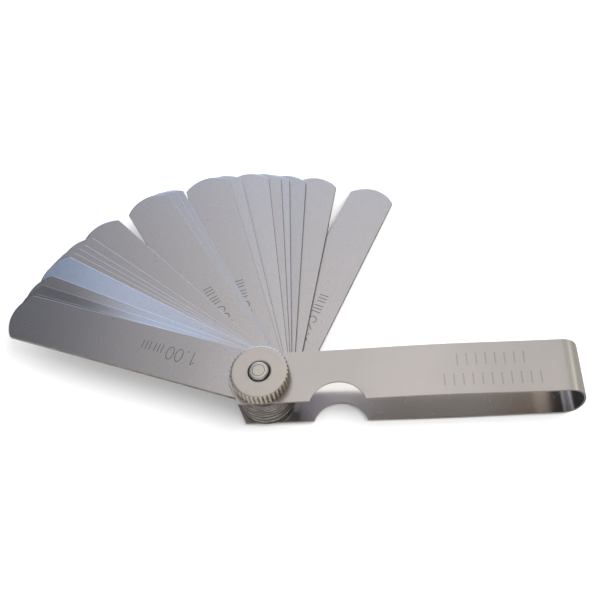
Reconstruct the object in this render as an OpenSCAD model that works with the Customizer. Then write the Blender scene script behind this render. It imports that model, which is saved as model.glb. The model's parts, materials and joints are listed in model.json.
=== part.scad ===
// Folding feeler gauge: a fan of thickness leaves on one pivot, held by a bent
// strip that the leaves fold into, with a screw and a knurled nut to lock them.
//
// The origin is on the pivot's axis, at the underside of the screw's head.
// +X runs along the holder to its bend, +Z runs up the pivot to the nut, and
// +Y is the side the leaves fan out over. All sizes are in millimetres.

/* [Leaves] */
// Thickness of each leaf from the top of the stack down, in hundredths of a millimetre
leaf_hundredths = concat([100], [for (h = [4:10]) h], [for (h = [15:5:95]) h]); // each 4 to 100
// Direction each leaf points in, counted from +X towards +Y, from the top of the stack down
fan_angles = concat(
    [161.5, 160.5, 158, 155, 149, 147.5, 146, 144.5, 142, 142.5],
    [134.5, 135, 121, 119, 117.5, 118, 106, 103, 103.5, 96.5],
    [93.5, 91.5, 87.5, 80, 65.5]
); // each 0 to 360
// Width of every leaf
leaf_w = 13; // [12:0.1:13.2]
// Distance from the pivot to the middle of a leaf's tip
leaf_reach = 71; // [60:0.5:80]
// How far the rounded tip stands beyond its two corners
tip_rise = 2.9; // [2:0.1:5]
// Radius of a leaf's root around the pivot
root_r = 7; // [6.8:0.05:7.5]
// Free play between neighbouring leaves
leaf_gap = 0.01; // [0.01:0.005:0.03]

/* [Holder] */
// Width of the holder's strip
strip_w = 13.3; // [13.3:0.1:15]
// Thickness of the holder's sheet
sheet_t = 0.5; // [0.4:0.05:0.8]
// Distance from the pivot to the holder's clipped end
end_reach = 7.9; // [7.4:0.1:10]
// Distance from the pivot to where the end's two clipped corners start
clip_start = 5.4; // [4:0.1:6.5]
// Width of the short flat between the clipped corners
end_flat_w = 2; // [1:0.1:4]
// Length of each leg's flat seat, from the pivot towards the bend
seat_reach = 9; // [8:0.5:15]
// Half of the bend's height inside, where it joins the two legs
bend_half_h = 5.9; // [5.9:0.05:7]
// Inner radius of the bend's two corners
bend_corner_r = 3.6; // [3:0.1:4.5]
// Half of the angle that the bend's flatter end takes up, between the two corners
bend_end_angle = 25; // [20:1:40]
// Room between the leaves' tips and the inside of the bend
tip_room = 4.2; // [4:0.1:6]
// How far each leg bows outwards at the middle of its length
leg_bow = 0.6; // [0:0.1:1]
// Radius of the finger notch
notch_r = 6.95; // [5:0.05:8]
// Distance of the notch's centre from the pivot, along the holder
notch_x = 18.3; // [16:0.1:30]
// Distance of the notch's centre from the holder's middle line
notch_offset = 8.9; // [8:0.1:11]

/* [Pivot screw] */
// Diameter of the round shank that the leaves turn on
shank_d = 5; // [4.5:0.1:5.5]
// Diameter of the flat head under the holder
head_d = 10; // [8:0.1:12]
// Height of the head
head_h = 1.2; // [1:0.1:2]
// Chamfer around the head's lower rim
head_chamfer = 0.3; // [0.2:0.05:0.4]
// Width of the square neck that stops the screw turning in the holder
neck_w = 5; // [4.5:0.1:5.5]
// How far the screw stands out above the nut
screw_out = 0.5; // [0.3:0.1:2]
// Diameter of the flat in the middle of the screw's crowned end
end_flat_d = 2.8; // [2:0.1:4]
// Diameter of the rim between the crown and the chamfer that leads the thread in
end_rim_d = 4.6; // [4.2:0.1:4.8]
// Height of the crown, from its rim up to the flat
crown_h = 0.2; // [0.1:0.05:0.4]

/* [Knurled nut] */
// Height of the nut
nut_h = 3.6; // [3:0.1:5]
// Diameter over the knurl's crests
knurl_d = 14.3; // [14:0.1:15]
// Diameter of the nut's top face
nut_top_d = 13.3; // [12:0.1:13.4]
// Diameter of the nut's face on the holder
nut_base_d = 13; // [12:0.1:13.2]
// Height of the chamfer at each end of the knurl
nut_chamfer_h = 0.55; // [0.3:0.05:0.8]
// Number of knurl grooves
groove_count = 40; // [30:1:48]
// Depth of a knurl groove
groove_depth = 0.45; // [0.3:0.05:0.5]
// Width of a knurl groove at the crests
groove_w = 0.85; // [0.6:0.05:0.9]
// Diameter of the countersink at each end of the nut's hole
countersink_d = 5.8; // [5.7:0.1:6.5]

/* [Fits] */
// Free play between the shank and each round hole, on the radius
bore_clearance = 0.05; // [0.02:0.01:0.1]
// Free play between the holder and the screw's head, and between the holder and the nut
seat_gap = 0.02; // [0.01:0.01:0.05]

/* [Hidden] */
$fn = 96;
over = 1;
leaf_count = len(leaf_hundredths);
bore_r = shank_d / 2 + bore_clearance;
tip_r = (pow(leaf_w / 2, 2) + pow(tip_rise, 2)) / (2 * tip_rise);
corner_rise = bend_half_h - bend_corner_r;
radius_step = corner_rise / sin(bend_end_angle);
bend_end_r = bend_corner_r + radius_step;
end_centre_x = leaf_reach + tip_room - bend_end_r;
bend_x = end_centre_x + radius_step * cos(bend_end_angle);
leg_steps = 24;

// Heights up the pivot, from the rest face
holder_z = head_h + seat_gap;
stack_z = holder_z + sheet_t;
stack_h = stack_height(0) + leaf_gap;
holder_h = stack_h + 2 * sheet_t;
middle_z = holder_z + holder_h / 2;
nut_z = holder_z + holder_h + seat_gap;
screw_top_z = nut_z + nut_h + screw_out;

// Height of the leaves from number i down to the bottom of the stack, each with the gap under it
function stack_height(i) =
    i >= leaf_count ? 0 : leaf_hundredths[i] / 100 + leaf_gap + stack_height(i + 1);

// A leaf is named by its thickness in hundredths of a millimetre, such as leaf_015
function leaf_name(i) =
    let (h = leaf_hundredths[i])
    str("leaf_", h < 100 ? "0" : "", h < 10 ? "0" : "", h);

// Share of the way along a leg's free length, from the seat to the bend
function leg_share(x) = max(0, (x - seat_reach) / (bend_x - seat_reach));

// Height of a leg's inner face from the holder's middle: flat at the seat, then bowed
function leg_inner(x) =
    let (s = leg_share(x), ease = s * s * (3 - 2 * s))
    stack_h / 2 + (bend_half_h - stack_h / 2) * ease + leg_bow * pow(sin(180 * s), 2);

// Outline of every leaf: a rounded root around the pivot, straight sides and an arched tip
module leaf_outline() {
    difference() {
        intersection() {
            translate([-root_r - over, -leaf_w / 2])
                square([leaf_reach + root_r + 2 * over, leaf_w]);
            union() {
                circle(r = root_r);
                translate([0, -leaf_w / 2 - over])
                    square([leaf_reach - tip_r, leaf_w + 2 * over]);
                translate([leaf_reach - tip_r, 0])
                    circle(r = tip_r);
            }
        }
        circle(r = bore_r);
    }
}

// One hardened steel leaf, number i from the top of the stack
module leaf(i) {
    color(i % 2 == 0 ? "silver" : "lightsteelblue")
        translate([0, 0, stack_z + stack_height(i + 1) + leaf_gap])
            rotate([0, 0, fan_angles[i]])
                linear_extrude(leaf_hundredths[i] / 100)
                    leaf_outline();
}

// Side outline of one leg, above the holder's middle
module leg_profile() {
    free_length = bend_x - seat_reach;
    xs = concat([-end_reach], [for (k = [0:leg_steps]) seat_reach + free_length * k / leg_steps]);
    polygon(concat(
        [for (x = xs) [x, leg_inner(x)]],
        [for (k = [len(xs) - 1:-1:0]) [xs[k], leg_inner(xs[k]) + sheet_t]]
    ));
}

// Side outline of a bent part of the sheet, between two angles less than 90 degrees apart
module bent_sheet(inner_r, from, to) {
    outer_r = inner_r + sheet_t;
    reach = 2 * outer_r;
    intersection() {
        difference() {
            circle(r = outer_r);
            circle(r = inner_r);
        }
        polygon([
            [0, 0],
            reach * [cos(from), sin(from)],
            reach * [cos((from + to) / 2), sin((from + to) / 2)],
            reach * [cos(to), sin(to)]
        ]);
    }
}

// The upper one of the bend's two corners
module corner_profile() {
    translate([bend_x, corner_rise])
        bent_sheet(bend_corner_r, bend_end_angle, 90);
}

// The flatter end of the bend, between its corners
module end_profile() {
    translate([end_centre_x, 0])
        bent_sheet(bend_end_r, -bend_end_angle, bend_end_angle);
}

// A side outline drawn out over more than the strip's width
module across_strip() {
    linear_extrude(strip_w + 2 * over, center = true)
        children();
}

// Outline of the strip seen from above, with the two clipped corners
module holder_plan() {
    half_w = strip_w / 2;
    far_x = leaf_reach + 2 * tip_room;
    polygon([
        [-end_reach, -end_flat_w / 2],
        [-clip_start, -half_w],
        [far_x, -half_w],
        [far_x, half_w],
        [-clip_start, half_w],
        [-end_reach, end_flat_w / 2]
    ]);
}

// The bent strip, open along both long sides, that the leaves fold into
module holder() {
    neck_hole_w = neck_w + 2 * bore_clearance;
    color("lightgray")
        difference() {
            intersection() {
                translate([0, 0, middle_z])
                    rotate([90, 0, 0])
                        union() {
                            across_strip() leg_profile();
                            across_strip() mirror([0, 1]) leg_profile();
                            across_strip() corner_profile();
                            across_strip() mirror([0, 1]) corner_profile();
                            across_strip() end_profile();
                        }
                linear_extrude(nut_z + 2 * over)
                    holder_plan();
            }
            translate([0, 0, middle_z])
                cylinder(h = holder_h, r = bore_r);
            translate([0, 0, holder_z + sheet_t / 2])
                cube([neck_hole_w, neck_hole_w, 2 * sheet_t], center = true);
            translate([notch_x, -notch_offset, 0])
                cylinder(h = nut_z + 2 * over, r = notch_r);
        }
}

// The screw: flat head, square neck in the lower leg, round shank and a crowned end
module pivot_screw() {
    lead_chamfer = (shank_d - end_rim_d) / 2;
    color("gainsboro")
        union() {
            rotate_extrude()
                polygon([
                    [0, 0],
                    [head_d / 2 - head_chamfer, 0],
                    [head_d / 2, head_chamfer],
                    [head_d / 2, head_h],
                    [shank_d / 2, head_h],
                    [shank_d / 2, screw_top_z - crown_h - lead_chamfer],
                    [end_rim_d / 2, screw_top_z - crown_h],
                    [end_flat_d / 2, screw_top_z],
                    [0, screw_top_z]
                ]);
            translate([-neck_w / 2, -neck_w / 2, head_h])
                cube([neck_w, neck_w, seat_gap + sheet_t]);
        }
}

// The V groove between two teeth of the knurl
module knurl_groove() {
    crest_r = knurl_d / 2;
    lift = groove_depth / 2;
    mouth_w = groove_w * (1 + lift / groove_depth);
    linear_extrude(nut_h + 2 * over)
        polygon([
            [crest_r - groove_depth, 0],
            [crest_r + lift, -mouth_w / 2],
            [crest_r + lift, mouth_w / 2]
        ]);
}

// The round nut that clamps the leaves, turned by its knurled rim
module knurled_nut() {
    sink_depth = countersink_d / 2 - bore_r;
    color("tan")
        translate([0, 0, nut_z])
            difference() {
                rotate_extrude()
                    polygon([
                        [countersink_d / 2, 0],
                        [nut_base_d / 2, 0],
                        [knurl_d / 2, nut_chamfer_h],
                        [knurl_d / 2, nut_h - nut_chamfer_h],
                        [nut_top_d / 2, nut_h],
                        [countersink_d / 2, nut_h],
                        [bore_r, nut_h - sink_depth],
                        [bore_r, sink_depth]
                    ]);
                for (g = [0:groove_count - 1])
                    rotate([0, 0, g * 360 / groove_count])
                        translate([0, 0, -over])
                            knurl_groove();
            }
}

holder();
pivot_screw();
knurled_nut();
for (i = [0:leaf_count - 1])
    leaf(i);
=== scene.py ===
import json
import math

import bmesh
import bpy
from mathutils import Matrix, Vector
from mathutils.geometry import delaunay_2d_cdt


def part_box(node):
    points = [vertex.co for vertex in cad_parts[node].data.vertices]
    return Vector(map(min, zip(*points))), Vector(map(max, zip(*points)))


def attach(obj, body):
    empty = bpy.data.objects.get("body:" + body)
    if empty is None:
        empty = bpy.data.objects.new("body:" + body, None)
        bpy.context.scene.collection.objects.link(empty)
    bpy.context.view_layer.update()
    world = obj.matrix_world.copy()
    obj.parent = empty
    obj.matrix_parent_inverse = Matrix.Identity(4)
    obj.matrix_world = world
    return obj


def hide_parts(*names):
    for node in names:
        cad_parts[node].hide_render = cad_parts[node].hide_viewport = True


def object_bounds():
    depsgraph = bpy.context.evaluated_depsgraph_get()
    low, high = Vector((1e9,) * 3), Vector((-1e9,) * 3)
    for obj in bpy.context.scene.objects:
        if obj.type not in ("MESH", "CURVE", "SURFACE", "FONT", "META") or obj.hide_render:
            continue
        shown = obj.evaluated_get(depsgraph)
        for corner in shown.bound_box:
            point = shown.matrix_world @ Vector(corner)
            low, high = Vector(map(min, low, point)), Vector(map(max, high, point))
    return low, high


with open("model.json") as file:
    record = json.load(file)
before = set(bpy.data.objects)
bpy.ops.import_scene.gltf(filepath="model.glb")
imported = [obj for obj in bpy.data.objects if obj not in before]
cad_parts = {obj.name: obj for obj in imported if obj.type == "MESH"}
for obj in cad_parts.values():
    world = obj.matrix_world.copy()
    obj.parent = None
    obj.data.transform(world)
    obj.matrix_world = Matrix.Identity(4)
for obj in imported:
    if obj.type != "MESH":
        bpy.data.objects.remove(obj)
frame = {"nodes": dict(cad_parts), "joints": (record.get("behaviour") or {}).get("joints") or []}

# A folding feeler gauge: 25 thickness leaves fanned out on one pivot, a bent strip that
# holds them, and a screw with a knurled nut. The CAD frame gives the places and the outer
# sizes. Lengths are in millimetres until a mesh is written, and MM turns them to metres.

CAD_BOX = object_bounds()
MM = 0.001

# ---------------------------------------------------------------- sizes from the frame


def box_mm(node):
    """Lowest and highest corner of a CAD node, in millimetres."""
    low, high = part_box(node)
    return low / MM, high / MM


# The leaves from the top of the stack down. A leaf's lowest limit folds it into the
# holder, so that limit is also its angle in the fan.
LEAVES = [name for name in frame["nodes"] if name.startswith("leaf_")]
LEAVES.sort(key=lambda name: -box_mm(name)[0].z)
FAN_ANGLE = {
    joint["child"]: -joint["range_deg"][0]
    for joint in frame["joints"]
    if joint["child"] in LEAVES
}

HOLDER_LOW, HOLDER_HIGH = box_mm("holder")
SCREW_HIGH = box_mm("pivot_screw")[1]
NUT_LOW, NUT_HIGH = box_mm("knurled_nut")
STACK_LOW_Z = box_mm(LEAVES[-1])[0].z
STACK_HIGH_Z = box_mm(LEAVES[0])[1].z

# Sizes that the boxes don't give, as in the CAD source
LEAF_W = 13.0
LEAF_REACH = 71.0
TIP_RISE = 2.9
ROOT_R = 7.0
BORE_R = 2.55
LEAF_GAP = 0.01
SEAT_GAP = 0.02
SHEET_T = 0.5
CLIP_START = 5.4
END_FLAT_W = 2.0
SEAT_REACH = 9.0
BEND_HALF_H = 5.9
BEND_CORNER_R = 3.6
BEND_END_ANGLE = math.radians(25)
LEG_BOW = 0.6
NOTCH_X = 18.3
NOTCH_OFFSET = 8.9
NOTCH_R = 6.95
NECK_W = 5.0
NECK_HOLE_W = 5.1
SHANK_R = 2.5
HEAD_H = 1.2
HEAD_CHAMFER = 0.3
END_FLAT_R = 1.4
END_RIM_R = 2.3
CROWN_H = 0.2
NUT_TOP_R = 6.65
NUT_BASE_R = 6.5
NUT_CHAMFER_H = 0.55
GROOVE_COUNT = 40
GROOVE_DEPTH = 0.45
GROOVE_W = 0.85
COUNTERSINK_R = 2.9

MIDDLE_Z = (HOLDER_LOW.z + HOLDER_HIGH.z) / 2
HALF_STACK = (STACK_HIGH_Z - STACK_LOW_Z) / 2 + LEAF_GAP
TIP_R = ((LEAF_W / 2) ** 2 + TIP_RISE**2) / (2 * TIP_RISE)

# The bend is a corner, a flatter end and another corner; lengths are along its mid-line
CORNER_RISE = BEND_HALF_H - BEND_CORNER_R
BEND_END_R = BEND_CORNER_R + CORNER_RISE / math.sin(BEND_END_ANGLE)
END_CENTRE_X = HOLDER_HIGH.x - SHEET_T - BEND_END_R
BEND_X = END_CENTRE_X + CORNER_RISE / math.tan(BEND_END_ANGLE)
CORNER_LENGTH = (math.pi / 2 - BEND_END_ANGLE) * (BEND_CORNER_R + SHEET_T / 2)
END_LENGTH = 2 * BEND_END_ANGLE * (BEND_END_R + SHEET_T / 2)
BEND_LENGTH = 2 * CORNER_LENGTH + END_LENGTH

# The upper pivot hole's place along the flat strip, which starts from the lower one
UPPER_PIVOT_U = 2 * BEND_X + BEND_LENGTH

# ---------------------------------------------------------------- outlines and plates

HOLE_STEPS = 48
MARK_INDEX = 1


def arc(centre, radius, start, end, steps):
    """Points along an arc, both ends included; angles in radians."""
    turn = (end - start) / steps
    return [
        Vector((
            centre[0] + radius * math.cos(start + turn * k),
            centre[1] + radius * math.sin(start + turn * k),
        ))
        for k in range(steps + 1)
    ]


def rectangle(left, low, right, high):
    """The four corners, counterclockwise from the lower left."""
    corners = [(left, low), (right, low), (right, high), (left, high)]
    return [Vector(corner) for corner in corners]


def round_hole(radius):
    """A round hole's outline, clockwise, so that the metal is on its left."""
    return arc((0, 0), radius, 0, -2 * math.pi, HOLE_STEPS)[:-1]


def inset(points, distance):
    """The outline moved into the metal, which lies on its left."""
    moved = []
    for k, here in enumerate(points):
        before = (here - points[k - 1]).normalized()
        after = (points[(k + 1) % len(points)] - here).normalized()
        normal_before = Vector((-before.y, before.x))
        normal_after = Vector((-after.y, after.x))
        both = normal_before + normal_after
        moved.append(here + both * (distance / (1 + normal_before.dot(normal_after))))
    return moved


def cap(bm, outlines, ring_verts, crossings, marks, place, level):
    """Fills one face of a plate between its outlines and returns its faces under marks."""
    points = [p for outline in outlines for p in outline]
    verts = [v for ring in ring_verts for v in ring]
    loops, start = [], 0
    for outline in outlines:
        loop = list(range(start, start + len(outline)))
        loops.append(loop if start == 0 else loop[::-1])
        start += len(outline)
    for mark in marks:
        loops.append(list(range(len(points), len(points) + len(mark))))
        points += mark
    flat = delaunay_2d_cdt(points, crossings, loops, 1, 1e-6, True)
    flat_points, _, triangles, sources, _, inside = flat
    placed = []
    for point, source in zip(flat_points, sources):
        known = [s for s in source if s < len(verts)]
        placed.append(verts[known[0]] if known else bm.verts.new(place(*point, level)))
    marked = []
    for triangle, within in zip(triangles, inside):
        in_hole = any(0 < loop < len(outlines) for loop in within)
        if 0 not in within or in_hole:
            continue
        face = bm.faces.new([placed[k] for k in triangle])
        if any(loop >= len(outlines) for loop in within):
            marked.append(face)
    return marked


def press(bm, faces, depth):
    """Sinks faces of a plate. The hollows take the material number MARK_INDEX."""
    pressed = bmesh.ops.extrude_face_region(bm, geom=faces)["geom"]
    bmesh.ops.delete(bm, geom=faces, context="FACES")
    verts = [v for v in pressed if isinstance(v, bmesh.types.BMVert)]
    floor = {f for f in pressed if isinstance(f, bmesh.types.BMFace)}
    bmesh.ops.translate(bm, verts=verts, vec=Vector((0, 0, -depth * MM)))
    for face in floor.union(f for v in verts for f in v.link_faces):
        face.material_index = MARK_INDEX


def plate(
    bm, outlines, thickness, edge, place, crossings=(), marks=(), mark_depth=0.0, first_index=0
):
    """A plate with rounded edges. place(x, y, n) says where a flat point goes that lies n
    up from the plate's first face, which takes the material number first_index. Crossings
    are index pairs of points to join by an edge, for a plate that is bent."""
    soft = edge * (1 - math.sqrt(0.5))
    levels = [
        (edge, 0),
        (soft, soft),
        (0, edge),
        (0, thickness - edge),
        (soft, thickness - soft),
        (edge, thickness),
    ]
    rings = []
    for distance, height in levels:
        moved = [inset(outline, distance) for outline in outlines]
        verts = [[bm.verts.new(place(*p, height)) for p in loop] for loop in moved]
        rings.append((moved, verts))
    for (_, lower), (_, upper) in zip(rings, rings[1:]):
        for low, high in zip(lower, upper):
            for k in range(len(low)):
                n = (k + 1) % len(low)
                bm.faces.new((low[k], low[n], high[n], high[k]))
    side_faces = set(bm.faces)
    cap(bm, *rings[0], crossings, [], place, 0)
    for face in set(bm.faces) - side_faces:
        face.material_index = first_index
    marked = cap(bm, *rings[-1], crossings, marks, place, thickness)
    bmesh.ops.recalc_face_normals(bm, faces=bm.faces)
    if marked:
        press(bm, marked, mark_depth)


def to_object(bm, name, materials, smooth_below):
    """Makes an object that is smooth except at edges sharper than an angle in degrees."""
    bmesh.ops.recalc_face_normals(bm, faces=bm.faces)
    mesh = bpy.data.meshes.new(name)
    bm.to_mesh(mesh)
    bm.free()
    for material in materials:
        mesh.materials.append(material)
    mesh.shade_smooth()
    mesh.set_sharp_from_angle(angle=math.radians(smooth_below))
    piece = bpy.data.objects.new(name, mesh)
    bpy.context.scene.collection.objects.link(piece)
    level = piece.modifiers.new("large_faces_lead", "WEIGHTED_NORMAL")
    level.keep_sharp = True
    return piece


def stand_in(piece, node, body):
    """Puts a piece in the place of a CAD node."""
    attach(piece, body)
    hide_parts(node)


# ---------------------------------------------------------------- numerals as strokes

GLYPH_CELL_W = 0.6
POINT_W_SHARE = 0.4
STROKE_OVERRUN = 0.6  # as a share of half the pen's width
NUMERAL_START = 17.6
NUMERAL_LOW = -2.2
NUMERAL_H = 3.5
NUMERAL_W = 0.53 * NUMERAL_H
NUMERAL_SPACING = 0.6
PEN_W = 0.22


def glyph(character):
    """A numeral as pen strokes in a cell 0.6 wide and 1 high."""
    half_turn = math.pi
    strokes = {
        "0": [[(0.3 + 0.3 * math.sin(a / 8 * math.pi), 0.5 + 0.5 * math.cos(a / 8 * math.pi))
               for a in range(17)]],
        "1": [[(0.1, 0.78), (0.34, 1), (0.34, 0)]],
        "2": [arc((0.3, 0.71), 0.29, half_turn * 0.95, -half_turn * 0.22, 9) + [(0, 0), (0.6, 0)]],
        "3": [arc((0.28, 0.76), 0.24, half_turn * 0.85, -half_turn * 0.5, 8)
              + arc((0.28, 0.27), 0.27, half_turn * 0.5, -half_turn * 0.88, 9)],
        "4": [[(0.44, 0), (0.44, 1), (0, 0.28), (0.6, 0.28)]],
        "5": [[(0.54, 1), (0.09, 1), (0.05, 0.56)]
              + arc((0.28, 0.31), 0.31, half_turn * 0.75, -half_turn * 0.85, 10)],
        "6": [[(0.5, 0.96)] + arc((0.6, 0.3), 0.6, half_turn * 0.62, half_turn, 5)
              + arc((0.3, 0.29), 0.29, half_turn, 3 * half_turn, 14)],
        "7": [[(0, 1), (0.6, 1), (0.2, 0)]],
        "8": [arc((0.3, 0.76), 0.24, -half_turn / 2, 1.5 * half_turn, 12),
              arc((0.3, 0.26), 0.27, half_turn / 2, 2.5 * half_turn, 12)],
        "9": [arc((0.3, 0.71), 0.29, 0, 2 * half_turn, 14)
              + arc((0, 0.7), 0.59, 0, -half_turn * 0.38, 5) + [(0.1, 0.04)]],
        ".": [[(0.02, 0.05), (0.12, 0.05)]],
    }
    return [[Vector(p) for p in stroke] for stroke in strokes[character]]


def stroke_quads(stroke):
    """One quad for each straight run of a stroke, a little longer than the run."""
    quads = []
    for start, end in zip(stroke, stroke[1:]):
        along = (end - start).normalized() * PEN_W / 2
        across = Vector((-along.y, along.x))
        first, last = start - along * STROKE_OVERRUN, end + along * STROKE_OVERRUN
        quads.append([first - across, last - across, last + across, first + across])
    return quads


def numeral_quads(text):
    """Quads that write a number along a leaf, and the place where the next one would start."""
    quads, x = [], NUMERAL_START
    for character in text:
        for stroke in glyph(character):
            placed = [
                Vector((x + p.x / GLYPH_CELL_W * NUMERAL_W, NUMERAL_LOW + p.y * NUMERAL_H))
                for p in stroke
            ]
            quads += stroke_quads(placed)
        x += NUMERAL_W * (POINT_W_SHARE if character == "." else 1) + NUMERAL_SPACING
    return quads, x


# ---------------------------------------------------------------- shader helpers


class Nodes:
    """Short ways to add and join shader nodes in one tree."""

    def __init__(self, tree):
        self.tree = tree
        tree.nodes.clear()

    def add(self, kind, inputs=None, **settings):
        node = self.tree.nodes.new(kind)
        for key, value in settings.items():
            setattr(node, key, value)
        for key, value in (inputs or {}).items():
            self.put(node.inputs[key], value)
        return node

    def put(self, socket, value):
        if isinstance(value, bpy.types.NodeSocket):
            self.tree.links.new(value, socket)
        elif isinstance(value, tuple) and socket.type == "RGBA":
            socket.default_value = (*value, 1.0)
        else:
            socket.default_value = value

    def math(self, operation, a, b=0.0):
        return self.add("ShaderNodeMath", {0: a, 1: b}, operation=operation).outputs[0]

    def times(self, a, b):
        return self.math("MULTIPLY", a, b)

    def plus(self, a, b):
        return self.math("ADD", a, b)

    def size_of(self, value):
        return self.math("ABSOLUTE", value)

    def vector(self, operation, a, b=(0, 0, 0)):
        return self.add("ShaderNodeVectorMath", {0: a, 1: b}, operation=operation).outputs[0]

    def scaled(self, vector, factor):
        node = self.add("ShaderNodeVectorMath", {0: vector, "Scale": factor}, operation="SCALE")
        return node.outputs[0]

    def parts(self, vector):
        return self.add("ShaderNodeSeparateXYZ", {"Vector": vector}).outputs

    def join(self, x, y, z):
        return self.add("ShaderNodeCombineXYZ", {"X": x, "Y": y, "Z": z}).outputs[0]

    def ramp(self, value, low, high, to_low=0.0, to_high=1.0):
        """A smooth step from to_low to to_high, while value goes from low to high."""
        reach = {"From Min": low, "From Max": high, "To Min": to_low, "To Max": to_high}
        inputs = {"Value": value, **reach}
        node = self.add("ShaderNodeMapRange", inputs, interpolation_type="SMOOTHSTEP")
        return node.outputs["Result"]

    def blend(self, factor, a, b):
        """Colour a where the factor is 0 and colour b where it is 1."""
        node = self.add("ShaderNodeMix", {"Factor": factor}, data_type="RGBA")
        colour_a, colour_b, colour_out = node.inputs[6], node.inputs[7], node.outputs[2]
        self.put(colour_a, a)
        self.put(colour_b, b)
        return colour_out

    def stain(self, colour, mask, share, stain_colour):
        """A share of another colour over the first one, where the mask is 1."""
        return self.blend(self.times(mask, share), colour, stain_colour)

    def graded(self, value, first, steps):
        """The first colour, then each step's own colour in turn as value passes the step."""
        colour = first
        for low, high, after in steps:
            colour = self.blend(self.ramp(value, low, high), colour, after)
        return colour

    def noise(self, vector, scale, detail=2.0, roughness=0.5):
        inputs = {"Vector": vector, "Scale": scale, "Detail": detail, "Roughness": roughness}
        return self.add("ShaderNodeTexNoise", inputs).outputs["Fac"]

    def streaks(self, vector, stretch, detail, roughness):
        """Noise drawn out along the axes whose stretch is small, and crowded along others."""
        return self.noise(self.vector("MULTIPLY", vector, stretch), 1.0, detail, roughness)

    def mm_coordinates(self):
        """The object's own coordinates, in millimetres."""
        return self.scaled(self.add("ShaderNodeTexCoord").outputs["Object"], 1 / MM)

    def world_normal(self):
        return self.add("ShaderNodeNewGeometry").outputs["Normal"]

    def turn(self, vector, convert_from, convert_to):
        """A direction turned between world and object space."""
        node = self.add(
            "ShaderNodeVectorTransform",
            {"Vector": vector},
            vector_type="VECTOR",
            convert_from=convert_from,
            convert_to=convert_to,
        )
        return node.outputs[0]

    def rotate_z(self, vector, degrees):
        inputs = {"Vector": vector, "Angle": math.radians(degrees)}
        return self.add("ShaderNodeVectorRotate", inputs, rotation_type="Z_AXIS").outputs[0]

    def bump(self, height, strength, depth_mm, normal=None):
        inputs = {"Height": height, "Strength": strength, "Distance": depth_mm * MM}
        if normal is not None:
            inputs["Normal"] = normal
        return self.add("ShaderNodeBump", inputs).outputs[0]

    def metal(self, colour, roughness, normal, metallic=1.0):
        """Ends the tree in one surface, which is metal unless it is told otherwise."""
        inputs = {"Base Color": colour, "Roughness": roughness, "Metallic": metallic}
        shader = self.add("ShaderNodeBsdfPrincipled", {**inputs, "Normal": normal})
        self.add("ShaderNodeOutputMaterial", {"Surface": shader.outputs[0]})


def new_material(name):
    material = bpy.data.materials.new(name)
    material.use_nodes = True
    return material, Nodes(material.node_tree)


def shade(colour, factor):
    return tuple(min(1.0, c * factor) for c in colour)


def specks(nodes, place, spacing, size, space="3D"):
    """1 in small round specks in about a quarter of the cells of a lattice, 0 elsewhere.
    A face cuts few specks of "3D" cells, and all of those of "2D" ones."""
    inputs = {"Vector": place, "Scale": 1 / spacing}
    cells = nodes.add("ShaderNodeTexVoronoi", inputs, voronoi_dimensions=space)
    near = nodes.ramp(cells.outputs["Distance"], size / spacing, 0.5 * size / spacing)
    chosen = nodes.math("GREATER_THAN", nodes.parts(cells.outputs["Color"])[0], 0.72)
    return nodes.times(near, chosen)


# ---------------------------------------------------------------- the leaves

TIP_STEPS = 28
ROOT_STEPS = 20
LEAF_EDGE_MAX = 0.13
LEAF_EDGE_SHARE = 0.35
ETCH_MAX = 0.03
ETCH_SHARE = 0.12
TICK_PITCH = 1.0
TICK_STARTS = (0.9, 4.3)
TICK_COUNT = 3
TICK_H = 2.3

LEAF_STEEL = (0.635, 0.605, 0.605)
# Tints of LEAF_STEEL that are painted reflection: a bluer, a lighter and a dimmer copy for leaves
# that would mirror other parts of the room
COOL_REFLECTING_STEEL = (0.63, 0.617, 0.636)
BRIGHTER_LIT_STEEL = (0.657, 0.637, 0.643)
DIMMER_LIT_STEEL = (0.603, 0.587, 0.605)
STEEL_PIT = (0.12, 0.11, 0.10)
STEEL_FRECKLE = (0.16, 0.15, 0.14)
# The leaves' sides: dark steel darkened further as painted shade of the stack, deeper painted
# shade in the gap on each side's lower part, and at the pivot bands of painted highlight and
# shade, light and dark in turn from leaf to leaf
SHADED_LEAF_SIDE = (0.30, 0.265, 0.24)
GAP_SHADE_ON_SIDE = (0.05, 0.045, 0.03)
ROOT_LIGHT_AND_SHADE = [(0.08, 0.075, 0.045), (0.38, 0.355, 0.34), (0.12, 0.11, 0.08), (0.50, 0.475, 0.46)]
ETCHED_DARK = (0.14, 0.13, 0.135)
ETCHED_LIGHT = (0.27, 0.26, 0.265)
LEAF_ROUGH = 0.27
SEED_SHIFT = (31.7, 17.3)
EDGE_ROLL = 0.24
BRIGHT_EDGE_ROLL = 0.36
EDGE_ROLL_W = 0.16

# The leaves whose steel is tinted bluer, brighter or dimmer than LEAF_STEEL as painted reflection
# of a slightly tilted leaf, and the ones whose edges roll over more
REFLECTION_TINTED_STEELS = {
    "leaf_040": COOL_REFLECTING_STEEL,
    "leaf_045": COOL_REFLECTING_STEEL,
    "leaf_050": COOL_REFLECTING_STEEL,
    "leaf_060": BRIGHTER_LIT_STEEL,
    "leaf_065": BRIGHTER_LIT_STEEL,
    "leaf_070": BRIGHTER_LIT_STEEL,
    "leaf_080": COOL_REFLECTING_STEEL,
    "leaf_085": DIMMER_LIT_STEEL,
}
BRIGHT_EDGED = ("leaf_006", "leaf_007", "leaf_008", "leaf_009", "leaf_010", "leaf_015", "leaf_020")

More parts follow.
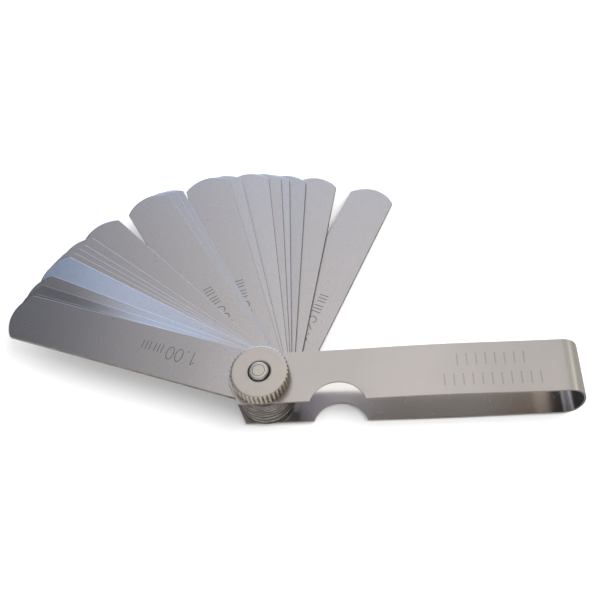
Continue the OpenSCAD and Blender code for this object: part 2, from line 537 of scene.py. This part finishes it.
# How far a leaf's face leans, as (along, across) near the pivot and at the tip, and the
# distances from the pivot between which the one turns into the other. A thin leaf is never
# quite flat, and the lean makes it mirror the room as a bent one does.
FLAT = ((0.0, 0.0), (0.0, 0.0), 20.0, 60.0)
LEANS = {
    "leaf_100": ((0.03, 0.0), (0.08, 0.0), 25.0, 70.0),
    "leaf_004": ((0.0, -0.215), (0.09, 0.06), 28.0, 56.0),
    "leaf_005": ((0.0, -0.215), (0.10, 0.06), 30.0, 62.0),
    "leaf_006": ((0.0, -0.20), (0.06, 0.03), 30.0, 66.0),
    "leaf_007": ((0.0, -0.18), (0.14, -0.105), 36.0, 74.0),
    "leaf_008": ((0.0, -0.03), (0.0, 0.0), 15.0, 60.0),
}


def leaf_normal(nodes, leaf, along, across, true_normal, mottle):
    """A leaf's shading normal: its faces lean and waver, and its long edges roll over.
    The true normal is given in the leaf's own directions, along, across and up."""
    root_lean, tip_lean, bend_start, bend_end = LEANS.get(leaf, FLAT)
    free = nodes.ramp(along, 5.0, 22.0)
    lean_along, lean_across = [
        nodes.times(free, nodes.ramp(along, bend_start, bend_end, at_root, at_tip))
        for at_root, at_tip in zip(root_lean, tip_lean)
    ]
    wander = nodes.times(nodes.math("SUBTRACT", mottle, 0.5), 0.05)
    rolled = nodes.ramp(nodes.size_of(across), LEAF_W / 2 - EDGE_ROLL_W, LEAF_W / 2 - 0.02)
    roll = BRIGHT_EDGE_ROLL if leaf in BRIGHT_EDGED else EDGE_ROLL
    edge = nodes.times(nodes.math("SIGN", across), nodes.times(rolled, roll))
    lean = nodes.join(lean_along, nodes.plus(lean_across, wander), 0.0)
    lean = nodes.scaled(lean, nodes.parts(true_normal)[2])
    bent = nodes.vector("ADD", nodes.vector("ADD", true_normal, lean), nodes.join(0.0, edge, 0.0))
    bent = nodes.turn(nodes.rotate_z(bent, FAN_ANGLE[leaf]), "OBJECT", "WORLD")
    return nodes.vector("NORMALIZE", bent)


def shaded_leaf_side_colour(nodes, along, gap_shade, mottle, root):
    """A leaf's sides: dark steel, darkened further by painted shade of the stack, turning at the
    pivot into the root's own band of painted highlight and shade, with deeper painted shade of the
    gap on the lower part, where the mask is 1."""
    dark, light = shade(SHADED_LEAF_SIDE, 0.6), shade(SHADED_LEAF_SIDE, 1.2)
    side = nodes.blend(nodes.ramp(mottle, 0.35, 0.65), dark, light)
    root_light_and_shade = nodes.blend(nodes.ramp(mottle, 0.40, 0.60), shade(root, 0.4), root)
    side = nodes.blend(nodes.ramp(along, 8.0, 4.0), side, root_light_and_shade)
    return nodes.blend(gap_shade, side, GAP_SHADE_ON_SIDE)


def leaf_material(leaf, seed):
    """Ground satin steel with fine lines along the leaf, a few pits and some freckles, some leaves
    tinted as painted reflection, and sides in painted shade.
    """
    low, high = box_mm(leaf)
    thickness = high.z - low.z
    # Some leaves take a tint here that is painted reflection
    steel = REFLECTION_TINTED_STEELS.get(leaf, LEAF_STEEL)
    # The side's band of painted highlight and shade at the pivot
    root = ROOT_LIGHT_AND_SHADE[seed % len(ROOT_LIGHT_AND_SHADE)]
    material, nodes = new_material(f"ground_steel_{leaf}")
    place = nodes.rotate_z(nodes.mm_coordinates(), -FAN_ANGLE[leaf])
    along, across, height = nodes.parts(place)
    shifted = nodes.vector("ADD", place, (SEED_SHIFT[0] * seed, SEED_SHIFT[1] * seed, 0))
    mottle = nodes.noise(shifted, 0.30, 4, 0.6)
    grain = nodes.noise(shifted, 5.5, 3, 0.7)
    ground = nodes.ramp(nodes.noise(shifted, 2.2, 3, 0.7), 0.35, 0.65)
    lines = nodes.streaks(shifted, (0.08, 5.0, 1), 3, 0.6)
    pits = specks(nodes, shifted, 4.5, 0.16)
    freckles = specks(nodes, nodes.vector("ADD", shifted, (5.1, 2.3, 0)), 1.4, 0.22, "2D")
    freckles = nodes.times(freckles, nodes.ramp(mottle, 0.56, 0.62))

    colour = nodes.blend(mottle, shade(steel, 0.96), shade(steel, 1.11))
    colour = nodes.stain(colour, grain, 0.40, shade(steel, 0.80))
    colour = nodes.stain(colour, ground, 0.30, shade(steel, 0.70))
    colour = nodes.stain(colour, pits, 0.6, STEEL_PIT)
    colour = nodes.stain(colour, freckles, 0.45, STEEL_FRECKLE)
    true_normal = nodes.turn(nodes.world_normal(), "WORLD", "OBJECT")
    true_normal = nodes.rotate_z(true_normal, -FAN_ANGLE[leaf])
    on_side = nodes.ramp(nodes.size_of(nodes.parts(true_normal)[2]), 0.75, 0.35)
    raised = nodes.math("SUBTRACT", height, low.z)
    # Painted shade of the gap over the leaf below, on the lower part of the side
    gap_shade = nodes.ramp(raised, 0.40 * thickness, 0.15 * thickness)
    side = shaded_leaf_side_colour(nodes, along, gap_shade, mottle, root)
    colour = nodes.blend(on_side, colour, side)

    rough = nodes.plus(LEAF_ROUGH, nodes.times(lines, 0.10))
    surface = nodes.plus(nodes.times(grain, 0.7), nodes.times(lines, 0.5))
    normal = leaf_normal(nodes, leaf, along, across, true_normal, mottle)
    nodes.metal(colour, rough, nodes.bump(surface, 0.5, 0.007, normal))
    return material


def etched_material():
    """The dull dark floor of an etched numeral."""
    material, nodes = new_material("etched_numeral")
    patchy = nodes.noise(nodes.mm_coordinates(), 2.0, 3)
    colour = nodes.blend(patchy, ETCHED_DARK, ETCHED_LIGHT)
    rough = nodes.plus(0.45, nodes.times(patchy, 0.2))
    nodes.metal(colour, rough, nodes.bump(patchy, 0.3, 0.01), 0.8)
    return material


def leaf_outline():
    """One leaf with its pivot hole, pointing along +X."""
    half_w = LEAF_W / 2
    tip_half_angle = math.asin(half_w / TIP_R)
    root_half_angle = math.pi - math.asin(half_w / ROOT_R)
    tip = arc((LEAF_REACH - TIP_R, 0), TIP_R, -tip_half_angle, tip_half_angle, TIP_STEPS)
    root = arc((0, 0), ROOT_R, root_half_angle, 2 * math.pi - root_half_angle, ROOT_STEPS)
    return [tip + root, round_hole(BORE_R)]


def leaf_marks(leaf):
    """The leaf's thickness as plain numerals, then plain ticks in place of the unit's letters."""
    hundredths = int(leaf.split("_")[1])
    marks, end_x = numeral_quads(f"{hundredths / 100:.2f}")
    for start in TICK_STARTS:
        for k in range(TICK_COUNT):
            x = end_x + start + k * TICK_PITCH
            marks += stroke_quads([Vector((x, NUMERAL_LOW)), Vector((x, NUMERAL_LOW + TICK_H))])
    return marks


def make_leaf(leaf, seed, etched):
    low, high = box_mm(leaf)
    thickness = high.z - low.z
    turn = Matrix.Rotation(math.radians(FAN_ANGLE[leaf]), 3, "Z")
    bm = bmesh.new()
    plate(
        bm,
        leaf_outline(),
        thickness,
        min(LEAF_EDGE_MAX, LEAF_EDGE_SHARE * thickness),
        lambda x, y, n: turn @ Vector((x, y, low.z + n)) * MM,
        marks=leaf_marks(leaf),
        mark_depth=min(ETCH_MAX, ETCH_SHARE * thickness),
    )
    piece = to_object(bm, f"steel_{leaf}", [leaf_material(leaf, seed), etched], 40)
    stand_in(piece, leaf, leaf)


# ---------------------------------------------------------------- the holder

HOLDER_EDGE = 0.13
LEG_STEPS = 26
BEND_STEPS = 28
NOTCH_STEPS = 22
INNER_INDEX = 2
PRESS_DEPTH = 0.06
PRESSED_X = 54.3
PRESSED_PITCH = 2.2
PRESSED_W = 0.32
PRESSED_H = 3.0
PRESSED_ROWS = [(2.2, 8), (-3.0, 11)]  # the row's middle across the leg, and its ticks

PLATED_SHEET = (0.61, 0.575, 0.553)
SHEET_PIT = (0.2, 0.17, 0.14)
SHEET_CUT = (0.26, 0.22, 0.19)
INNER_SHEET = (0.95, 0.935, 0.92)
# Colours of the inner face: the lower leg, darker and warmer toward the bend, with a painted
# bluish reflection where it meets the bend; then painted shade under the upper leg, deepening
# toward the bend, with a painted highlight band just before it and deep painted shade inside it
INNER_SHEET_TOWARD_BEND = (0.80, 0.73, 0.675)
BLUISH_REFLECTION_AT_BEND = (0.66, 0.68, 0.76)
UNDERSIDE_SHADE_NEAR_PIVOT = (0.52, 0.515, 0.58)
UNDERSIDE_SHADE_MIDWAY = (0.31, 0.293, 0.287)
UNDERSIDE_SHADE_NEAR_BEND = (0.32, 0.305, 0.29)
UNDERSIDE_HIGHLIGHT_AT_BEND = (0.544, 0.5185, 0.493)
SHADE_IN_BEND = (0.08, 0.08, 0.072)


def sheet_material(name, tint):
    """The holder's outer face: plated satin sheet, brushed along the strip. The cut edges
    of the strip, which face to the sides, are darker."""
    material, nodes = new_material(name)
    place = nodes.mm_coordinates()
    brushed = nodes.streaks(place, (0.10, 7.0, 0.1), 4, 0.65)
    peel = nodes.noise(place, 2.2, 3, 0.6)
    cloud = nodes.noise(place, 0.12, 3, 0.5)
    pits = specks(nodes, place, 7.0, 0.2)
    cut = nodes.ramp(nodes.size_of(nodes.parts(nodes.world_normal())[1]), 0.80, 0.97)

    colour = nodes.blend(cloud, shade(tint, 0.95), shade(tint, 1.05))
    colour = nodes.stain(colour, pits, 0.55, SHEET_PIT)
    colour = nodes.stain(colour, cut, 0.8, SHEET_CUT)
    rough = nodes.plus(0.25, nodes.times(brushed, 0.10))
    surface = nodes.plus(nodes.times(brushed, 0.3), nodes.times(peel, 0.6))
    nodes.metal(colour, rough, nodes.bump(surface, 0.22, 0.007))
    return material


def inner_sheet_material():
    """The holder's inner face: mirror-bright with fine scratches on the lower leg, where the
    leaves rub it, darker and warmer toward the bend, with a painted bluish reflection at it;
    dull under the upper leg and round the bend, and dark there by painted shade, with a painted
    highlight band just before the bend."""
    material, nodes = new_material("inner_sheet")
    place = nodes.mm_coordinates()
    x, _, height = nodes.parts(place)
    brushed = nodes.streaks(place, (0.08, 8.0, 0.1), 4, 0.65)
    wander = nodes.scaled(nodes.join(nodes.noise(place, 0.25), nodes.noise(place, 0.31), 0.0), 9.0)
    cells = nodes.add(
        "ShaderNodeTexVoronoi",
        {"Vector": nodes.vector("ADD", place, wander), "Scale": 0.35},
        feature="DISTANCE_TO_EDGE",
    )
    scratch = nodes.ramp(cells.outputs["Distance"], 0.012, 0.004)
    scratch = nodes.times(scratch, nodes.ramp(nodes.noise(place, 0.5), 0.56, 0.66))
    lower_face_z = MIDDLE_Z - BEND_HALF_H
    dull = nodes.ramp(height, lower_face_z + 0.6, lower_face_z + 1.8)

    # The lower leg: brushed mirror, darker toward the bend, with a painted bluish reflection where
    # it meets the bend
    rubbed_with_painted_reflection = nodes.graded(x, nodes.blend(brushed, shade(INNER_SHEET, 0.88), INNER_SHEET), [
        (BEND_X - 20, BEND_X - 8, INNER_SHEET_TOWARD_BEND),
        (BEND_X - 1.2, BEND_X - 0.2, BLUISH_REFLECTION_AT_BEND),
    ])
    # Painted shade under the upper leg and round the bend, with a painted highlight band before
    # the bend
    underside_shade = nodes.graded(x, UNDERSIDE_SHADE_NEAR_PIVOT, [
        (NOTCH_X - 6, NOTCH_X + 16, UNDERSIDE_SHADE_MIDWAY),
        (NOTCH_X, BEND_X, UNDERSIDE_SHADE_NEAR_BEND),
        (BEND_X - 5, BEND_X - 3, UNDERSIDE_HIGHLIGHT_AT_BEND),
        (BEND_X - 1, BEND_X + 1, SHADE_IN_BEND),
    ])
    rough = nodes.ramp(dull, 0.0, 1.0, 0.13, 0.34)
    rough = nodes.plus(rough, nodes.times(scratch, 0.25))
    rough = nodes.plus(rough, nodes.times(brushed, 0.05))
    nodes.metal(nodes.blend(dull, rubbed_with_painted_reflection, underside_shade), rough, nodes.bump(brushed, 0.25, 0.004))
    return material


def leg_inner(x):
    """Height of a leg's inner face from the holder's middle."""
    share = max(0.0, (x - SEAT_REACH) / (BEND_X - SEAT_REACH))
    ease = share * share * (3 - 2 * share)
    bow = LEG_BOW * math.sin(math.pi * share) ** 2
    return HALF_STACK + (BEND_HALF_H - HALF_STACK) * ease + bow


def bend_place(beyond, n):
    """X and the height from the middle, that far round the bend."""
    last = beyond - CORNER_LENGTH - END_LENGTH
    if beyond < CORNER_LENGTH:
        centre, rise, radius = BEND_X, -CORNER_RISE, BEND_CORNER_R
        angle = beyond / (radius + SHEET_T / 2) - math.pi / 2
    elif last < 0:
        centre, rise, radius = END_CENTRE_X, 0, BEND_END_R
        angle = (beyond - CORNER_LENGTH) / (radius + SHEET_T / 2) - BEND_END_ANGLE
    else:
        centre, rise, radius = BEND_X, CORNER_RISE, BEND_CORNER_R
        angle = last / (radius + SHEET_T / 2) + BEND_END_ANGLE
    return centre + (radius + n) * math.cos(angle), rise + (radius + n) * math.sin(angle)


def fold(u, y, n):
    """Where a point of the flat strip lies once it is bent: n runs from the inner face out."""
    if u <= BEND_X:
        return Vector((u, y, MIDDLE_Z - leg_inner(u) - n)) * MM
    if u <= BEND_X + BEND_LENGTH:
        x, rise = bend_place(u - BEND_X, n)
        return Vector((x, y, MIDDLE_Z + rise)) * MM
    x = UPPER_PIVOT_U - u
    return Vector((x, y, MIDDLE_Z + leg_inner(x) + n)) * MM


def near_edge():
    """The lower leg's near edge from its clipped end to the bend, with the finger notch."""
    half_w = HOLDER_HIGH.y
    half_mouth = math.sqrt(NOTCH_R**2 - (NOTCH_OFFSET - half_w) ** 2)
    side = math.asin((NOTCH_OFFSET - half_w) / NOTCH_R)
    start = [Vector((-CLIP_START, -half_w)), Vector((SEAT_REACH, -half_w))]
    notch = arc((NOTCH_X, -NOTCH_OFFSET), NOTCH_R, math.pi - side, side, NOTCH_STEPS)
    after = NOTCH_X + half_mouth
    step = (BEND_X - after) / LEG_STEPS
    rest = [Vector((after + step * k, -half_w)) for k in range(1, LEG_STEPS + 1)]
    return start + notch + rest


def holder_outline():
    """The flat strip before it is bent, and the number of points along one long side."""
    lower = near_edge()
    step = BEND_LENGTH / BEND_STEPS
    bend = [Vector((BEND_X + step * k, -HOLDER_HIGH.y)) for k in range(1, BEND_STEPS)]
    upper = [Vector((UPPER_PIVOT_U - p.x, p.y)) for p in reversed(lower)]
    near = lower + bend + upper
    far = [Vector((p.x, HOLDER_HIGH.y)) for p in reversed(near)]
    end_x, end_y = -HOLDER_LOW.x, END_FLAT_W / 2
    upper_end = [Vector((UPPER_PIVOT_U + end_x, y)) for y in (-end_y, end_y)]
    lower_end = [Vector((-end_x, y)) for y in (end_y, -end_y)]
    return near + upper_end + far + lower_end, len(near)


def pressed_marks():
    """Two rows of plain ticks pressed into the upper leg, which stand in for its lettering."""
    marks = []
    for row_y, count in PRESSED_ROWS:
        for k in range(count):
            u = UPPER_PIVOT_U - PRESSED_X - (k - (count - 1) / 2) * PRESSED_PITCH
            half_w, half_h = PRESSED_W / 2, PRESSED_H / 2
            marks.append(rectangle(u - half_w, row_y - half_h, u + half_w, row_y + half_h))
    return marks


def make_holder():
    outline, side_count = holder_outline()
    last = 2 * side_count + 1
    crossings = [
        (k, last - k)
        for k in range(side_count)
        if SEAT_REACH <= outline[k].x <= UPPER_PIVOT_U - SEAT_REACH
    ]
    half = NECK_HOLE_W / 2
    neck_hole = rectangle(-half, -half, half, half)
    clockwise = [neck_hole[-k] for k in range(len(neck_hole))]
    upper_bore = [Vector((p.x + UPPER_PIVOT_U, p.y)) for p in round_hole(BORE_R)]
    bm = bmesh.new()
    plate(
        bm,
        [outline, clockwise, upper_bore],
        SHEET_T,
        HOLDER_EDGE,
        fold,
        crossings=crossings,
        marks=pressed_marks(),
        mark_depth=PRESS_DEPTH,
        first_index=INNER_INDEX,
    )
    sheet = sheet_material("plated_sheet", PLATED_SHEET)
    # The pressed hollows take a darker copy of the sheet, as painted shade
    pressed = sheet_material("shaded_pressed_sheet", shade(PLATED_SHEET, 0.8))
    piece = to_object(bm, "bent_holder", [sheet, pressed, inner_sheet_material()], 40)
    stand_in(piece, "holder", "holder")


# ---------------------------------------------------------------- the screw and the nut

ROUNDING = 0.06
TURN_STEPS = 96
THREAD_PITCH = 0.8
THREAD_DEPTH = 0.35
THREAD_RINGS = 8
NECK_EDGE = 0.05
END_GROOVE_W = 0.12
END_ROLL = [(0, 0), (0.10, 0.08), (0.28, 0.14)]  # in from the end's rim, and up from it
TEETH_STEPS = 10
RIM_STEPS = 7
RIM_SOFTENING = 0.25
RIM_SHOULDERS = (2, 2.2)  # in from the nut's top edge, in RIM_SOFTENINGs
SINK_LIP = [(3, 0), (2, 0), (1.7, 0.1), (-3, 1.5)]  # out and down, in ROUNDINGs
BASE_SHOULDER = 0.1

PLATED_NUT = (0.665, 0.615, 0.565)
PLATED_SCREW = (0.60, 0.565, 0.525)
TURNED_PIT = (0.16, 0.13, 0.10)
# Painted shade on the turned parts' faces that don't face up: black on the screw, deepest beyond
# its end's rim in the gap round it, and brown on the nut, deepest in its grooves; then the width
# over which it deepens
BLACK_SIDE_AND_GAP_SHADE = (0.04, 0.034, 0.03)
BROWN_SIDE_AND_GROOVE_SHADE = (0.20, 0.16, 0.12)
SHADE_FADE = 0.05


def turned_material(name, tint, smoothest, arcs_depth, shade_colour, unshaded_r, shaded_r):
    """A face turned on a lathe: fine rings around the axis, with a few deeper arcs. Painted shade
    darkens the parts that don't face up, and more so as the radius goes from the first given
    radius to the second."""
    material, nodes = new_material(name)
    place = nodes.mm_coordinates()
    x, y, z = nodes.parts(place)
    flat = nodes.join(x, y, 0.0)
    radius = nodes.add("ShaderNodeVectorMath", {0: flat}, operation="LENGTH").outputs["Value"]
    angle = nodes.math("ARCTAN2", y, x)
    ring_place = nodes.join(nodes.times(radius, 6.0), nodes.times(angle, 0.35), z)
    rings = nodes.noise(ring_place, 1.0, 3, 0.6)
    arc_place = nodes.join(nodes.times(radius, 2.6), nodes.times(angle, 0.9), z)
    arcs = nodes.ramp(nodes.noise(arc_place, 1.0, 1), 0.60, 0.70)
    cloud = nodes.noise(place, 0.5, 3, 0.6)
    pits = specks(nodes, place, 2.6, 0.14)
    on_side = nodes.ramp(nodes.parts(nodes.world_normal())[2], 0.85, 0.6)
    deep_shade = nodes.times(nodes.ramp(radius, unshaded_r, shaded_r), on_side)

    colour = nodes.blend(cloud, shade(tint, 0.94), shade(tint, 1.05))
    colour = nodes.stain(colour, arcs, 0.25, shade(tint, 0.6))
    colour = nodes.stain(colour, pits, 0.5, TURNED_PIT)
    # Painted shade on faces that don't face up, deeper in the screw's gap and the nut's grooves
    colour = nodes.stain(colour, on_side, 0.35, shade_colour)
    colour = nodes.stain(colour, deep_shade, 0.7, shade_colour)
    rough = nodes.plus(smoothest, nodes.times(rings, 0.12))
    surface = nodes.plus(rings, nodes.times(arcs, arcs_depth))
    nodes.metal(colour, rough, nodes.bump(surface, 0.25, 0.008))
    return material


def turned(bm, rings, steps, closed):
    """Joins rings of points around the Z axis. A ring gives its (r, z) at an angle. A closed
    row of rings comes back to its first one, and an open row gets two end faces."""
    verts = [
        [
            bm.verts.new(Vector((r * math.cos(a), r * math.sin(a), z)) * MM)
            for a in (2 * math.pi * k / steps for k in range(steps))
            for r, z in [ring(a)]
        ]
        for ring in rings
    ]
    pairs = list(zip(verts, verts[1:]))
    if closed:
        pairs.append((verts[-1], verts[0]))
    else:
        bm.faces.new(verts[0])
        bm.faces.new(verts[-1])
    for low, high in pairs:
        for k in range(steps):
            n = (k + 1) % steps
            bm.faces.new((low[k], low[n], high[n], high[k]))


def plain_ring(radius, z):
    return lambda angle: (radius, z)


def thread_ring(z, cone_r):
    """Radius of the threaded shank at height z: a helical groove, cut back by the end's cone."""

    def ring(angle):
        phase = (z / THREAD_PITCH - angle / (2 * math.pi)) % 1.0
        groove = THREAD_DEPTH * abs(2 * phase - 1)
        return min(SHANK_R - groove, cone_r), z

    return ring


def knurl_ring(cone_r, z, crest_r):
    """Radius at height z: the smaller of the end's cone and the V-grooved rim."""
    pitch = 2 * math.pi / GROOVE_COUNT

    def ring(angle):
        off = abs((angle / pitch + 0.5) % 1.0 - 0.5) * pitch * crest_r
        groove = max(0.0, GROOVE_DEPTH * (1 - off / (GROOVE_W / 2)))
        return min(cone_r, crest_r - groove), z

    return ring


def screw_rings():
    """The screw from the underside of its head up to the flat of its end."""
    head_r, top = SCREW_HIGH.x, SCREW_HIGH.z
    thread_start = HOLDER_HIGH.z - SHEET_T
    rim_z = top - CROWN_H
    rings = [
        plain_ring(head_r - HEAD_CHAMFER - ROUNDING, 0),
        plain_ring(head_r - HEAD_CHAMFER + ROUNDING / 2, ROUNDING / 2),
        plain_ring(head_r - ROUNDING / 2, HEAD_CHAMFER - ROUNDING / 2),
        plain_ring(head_r, HEAD_CHAMFER + ROUNDING),
        plain_ring(head_r, HEAD_H - ROUNDING),
        plain_ring(head_r - ROUNDING, HEAD_H),
        plain_ring(SHANK_R, HEAD_H),
        plain_ring(SHANK_R, thread_start),
    ]
    count = int((rim_z - thread_start) / THREAD_PITCH * THREAD_RINGS)
    for k in range(1, count):
        z = thread_start + (rim_z - thread_start) * k / count
        rings.append(thread_ring(z, END_RIM_R + (rim_z - z)))
    rings += [plain_ring(END_RIM_R - inward, rim_z + up) for inward, up in END_ROLL]
    rings.append(plain_ring(END_FLAT_R + END_GROOVE_W, top - END_GROOVE_W / 4))
    rings.append(plain_ring(END_FLAT_R + END_GROOVE_W / 2, top - END_GROOVE_W))
    rings.append(plain_ring(END_FLAT_R, top))
    return rings


def make_screw():
    bm = bmesh.new()
    turned(bm, screw_rings(), TURN_STEPS, closed=False)
    half = NECK_W / 2
    plate(
        bm,
        [rectangle(-half, -half, half, half)],
        ROUNDING + SHEET_T + SEAT_GAP,
        NECK_EDGE,
        lambda x, y, n: Vector((x, y, HEAD_H - ROUNDING + n)) * MM,
    )
    steel = turned_material(
        "turned_screw",
        PLATED_SCREW,
        smoothest=0.16,
        arcs_depth=0.2,
        shade_colour=BLACK_SIDE_AND_GAP_SHADE,
        unshaded_r=END_RIM_R - SHADE_FADE,
        shaded_r=END_RIM_R + SHADE_FADE,
    )
    piece = to_object(bm, "turned_pivot_screw", [steel], 10)
    stand_in(piece, "pivot_screw", "holder")


def knurled_rim(z_face, face_r, direction):
    """The nut's rounded rim from a flat face out to the crests."""
    crest_r = NUT_HIGH.x
    rings = []
    for k in range(RIM_STEPS + 1):
        turn = math.pi / 2 * k / RIM_STEPS
        r = face_r + (crest_r - face_r) * math.sin(turn)
        z = z_face + direction * NUT_CHAMFER_H * (1 - math.cos(turn))
        rings.append(knurl_ring(r, z, crest_r))
    return rings


def nut_rings():
    """The nut from inside its lower countersink, round the outside, to inside its upper one."""
    low, high = NUT_LOW.z, NUT_HIGH.z
    sink = COUNTERSINK_R - BORE_R
    lower_sink = [plain_ring(BORE_R, low + sink), plain_ring(COUNTERSINK_R, low)]
    base = [plain_ring(NUT_BASE_R - BASE_SHOULDER, low)]
    lower_rim = knurled_rim(low, NUT_BASE_R, 1)
    upper_rim = knurled_rim(high, NUT_TOP_R - RIM_SOFTENING, -1)[::-1]
    top = [plain_ring(NUT_TOP_R - share * RIM_SOFTENING, high) for share in RIM_SHOULDERS]
    lip = [
        plain_ring(COUNTERSINK_R + ROUNDING * out, high - ROUNDING * down)
        for out, down in SINK_LIP
    ]
    upper_sink = [plain_ring(BORE_R, high - sink)]
    return lower_sink + base + lower_rim + upper_rim + top + lip + upper_sink


def make_nut():
    bm = bmesh.new()
    turned(bm, nut_rings(), GROOVE_COUNT * TEETH_STEPS, closed=True)
    crest_r = NUT_HIGH.x
    steel = turned_material(
        "turned_nut",
        PLATED_NUT,
        smoothest=0.28,
        arcs_depth=0.8,
        shade_colour=BROWN_SIDE_AND_GROOVE_SHADE,
        unshaded_r=crest_r,
        shaded_r=crest_r - GROOVE_DEPTH,
    )
    piece = to_object(bm, "knurled_clamp_nut", [steel], 30)
    stand_in(piece, "knurled_nut", "nut")


# ---------------------------------------------------------------- floor, light and camera

FLOOR_SIZE = 4000.0
FLOOR_DROP = 0.02
FLOOR_DARK = (0.86, 0.86, 0.86)
FLOOR_LIGHT = (0.93, 0.93, 0.93)
# Painted shade of the floor as the metal mirrors it, deeper past the bend
MIRRORED_FLOOR_SHADE = (0.54, 0.52, 0.50)
MIRRORED_FLOOR_SHADE_PAST_BEND = (0.30, 0.285, 0.27)

# What the metal mirrors of the room, by direction from the tool
MIDDLE_NEAR = (1.10, 1.07, 1.05)
MIDDLE_BEYOND = (0.93, 0.895, 0.865)
LEFT = (0.05, 0.06, 0.08)
FAR_LEFT = (0.50, 0.51, 0.53)
RIGHT = (0.60, 0.58, 0.56)
FAR_RIGHT_NEAR = (0.50, 0.50, 0.48)
FAR_RIGHT_BEYOND = (0.20, 0.17, 0.15)
CREAM_STRIP = (1.30, 1.32, 1.17)
SKY = (0.50, 0.71, 1.11)
WINDOW = (1.25, 1.5, 1.85)
NEAR_SIDE = (0.40, 0.37, 0.33)
BEHIND_VIEWER = (0.95, 0.97, 1.02)
ROOM_WHITE = (1.1, 1.1, 1.1)

# Lengths in millimetres, power in watts, angles in degrees
KEY_PLACE = (320, -20, 500)
KEY_TARGET = (0, 20, 0)
KEY_SIZE = 450
KEY_POWER = 2.6

CAMERA_PLACE = (30.3, -86.8, 184.7)
CAMERA_AZIMUTH = 11.02
CAMERA_ELEVATION = 57.22
CAMERA_ROLL = -12.39
CAMERA_LENS = 48.28
CAMERA_SENSOR = 36


def make_floor():
    """A pale speckled floor. Metal mirrors it darker than it is, as painted shade, and more so
    past the bend.
    """
    floor_z = CAD_BOX[0][2] - FLOOR_DROP * MM
    bpy.ops.mesh.primitive_plane_add(size=FLOOR_SIZE * MM, location=(0, 0, floor_z))
    floor = bpy.context.object
    floor.name = "floor"
    material, nodes = new_material("pale_floor")
    place = nodes.mm_coordinates()
    speckle = nodes.noise(place, 1.2, 3, 0.7)
    colour = nodes.blend(speckle, FLOOR_DARK, FLOOR_LIGHT)
    # The floor as the metal mirrors it: painted shade
    mirrored_shade = nodes.graded(nodes.parts(place)[0], MIRRORED_FLOOR_SHADE, [
        (HOLDER_HIGH.x - 8, HOLDER_HIGH.x + 4, MIRRORED_FLOOR_SHADE_PAST_BEND),
    ])
    in_metal = nodes.add("ShaderNodeLightPath").outputs["Is Glossy Ray"]
    colour = nodes.blend(in_metal, colour, mirrored_shade)
    nodes.metal(colour, 0.9, nodes.bump(speckle, 0.1, 0.02), 0.0)
    floor.data.materials.append(material)


def make_world():
    """An even white room for the floor and the camera. What the metal mirrors is a studio: a
    pale-blue sky with a brighter window low beyond the tool, a bright middle, a dark left
    that is grey at its end, a grey right with a cream strip near its end, and a dim warm
    near side that is white behind the viewer."""
    world = bpy.data.worlds.new("studio")
    bpy.context.scene.world = world
    world.use_nodes = True
    nodes = Nodes(world.node_tree)
    x, y, _ = nodes.parts(nodes.add("ShaderNodeTexCoord").outputs["Generated"])
    beyond = nodes.ramp(y, 0.46, 0.54)
    room = nodes.graded(x, LEFT, [
        (-0.56, -0.03, nodes.blend(beyond, MIDDLE_NEAR, MIDDLE_BEYOND)),
        (-0.64, -0.85, FAR_LEFT),
        (-0.05, 0.40, RIGHT),
        (0.70, 0.85, nodes.blend(beyond, FAR_RIGHT_NEAR, FAR_RIGHT_BEYOND)),
    ])
    strip = nodes.times(nodes.ramp(x, 0.66, 0.81), nodes.ramp(x, 0.90, 0.83))
    strip = nodes.times(strip, nodes.ramp(y, 0.54, 0.48))
    room = nodes.blend(strip, room, CREAM_STRIP)
    straight_on = nodes.ramp(nodes.size_of(x), 0.66, 0.40)
    room = nodes.blend(nodes.times(nodes.ramp(y, 0.66, 0.78), straight_on), room, SKY)
    room = nodes.blend(nodes.times(nodes.ramp(y, 0.80, 0.93), straight_on), room, WINDOW)
    room = nodes.graded(y, room, [(0.25, -0.15, NEAR_SIDE), (-0.45, -0.65, BEHIND_VIEWER)])
    path = nodes.add("ShaderNodeLightPath").outputs
    even = nodes.math("MAXIMUM", path["Is Diffuse Ray"], path["Is Camera Ray"])
    room = nodes.blend(even, room, ROOM_WHITE)
    light = nodes.add("ShaderNodeBackground", {"Color": room, "Strength": 1.0})
    nodes.add("ShaderNodeOutputWorld", {"Surface": light.outputs[0]})


def make_key_light():
    """One soft light from the upper right, which the metal doesn't mirror."""
    place, target = Vector(KEY_PLACE) * MM, Vector(KEY_TARGET) * MM
    data = bpy.data.lights.new("key_light", "AREA")
    data.shape = "DISK"
    data.size = KEY_SIZE * MM
    data.energy = KEY_POWER
    light = bpy.data.objects.new("key_light", data)
    light.location = place
    light.rotation_euler = (target - place).to_track_quat("-Z", "Y").to_euler()
    light.visible_glossy = False
    bpy.context.scene.collection.objects.link(light)


def make_camera():
    """The view from above the near side, right of the pivot, turned a little to the left."""
    data = bpy.data.cameras.new("camera")
    data.sensor_width = CAMERA_SENSOR
    data.lens = CAMERA_LENS
    camera = bpy.data.objects.new("camera", data)
    camera.location = Vector(CAMERA_PLACE) * MM
    swing = Matrix.Rotation(math.radians(CAMERA_AZIMUTH), 3, "Z")
    tilt = Matrix.Rotation(math.radians(90 - CAMERA_ELEVATION), 3, "X")
    roll = Matrix.Rotation(math.radians(CAMERA_ROLL), 3, "Z")
    camera.rotation_euler = (swing @ tilt @ roll).to_euler()
    bpy.context.scene.collection.objects.link(camera)
    bpy.context.scene.camera = camera


etched = etched_material()
for seed, leaf in enumerate(LEAVES):
    make_leaf(leaf, seed, etched)
make_holder()
make_screw()
make_nut()
make_floor()
make_world()
make_key_light()
make_camera()
bpy.context.scene.view_settings.view_transform = "Standard"
